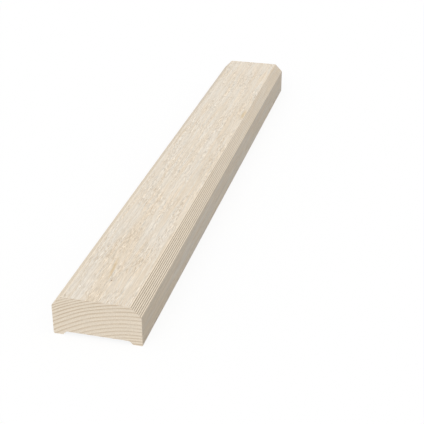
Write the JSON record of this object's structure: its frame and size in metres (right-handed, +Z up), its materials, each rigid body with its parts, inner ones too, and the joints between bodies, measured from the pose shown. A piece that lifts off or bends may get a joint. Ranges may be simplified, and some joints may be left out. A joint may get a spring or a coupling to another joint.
{
  "type": "chamfered timber plank",
  "caption": "Planed softwood plank with a wide chamfer along each top edge and a shallow relief along the underside between two feet, for a rail, capping or sill.",
  "frame": {"origin": "centre of the plank's footprint, level with the undersides of its two feet", "axes": "+Y along the plank, +Z up through the chamfered top face, +X across it"},
  "size_m": [0.095, 0.74, 0.045],
  "materials": {
    "timber": "planed and untreated softwood, with sawn ends"
  },
  "bodies": {
    "root": {"plank": "timber"}
  },
  "joints": []
}
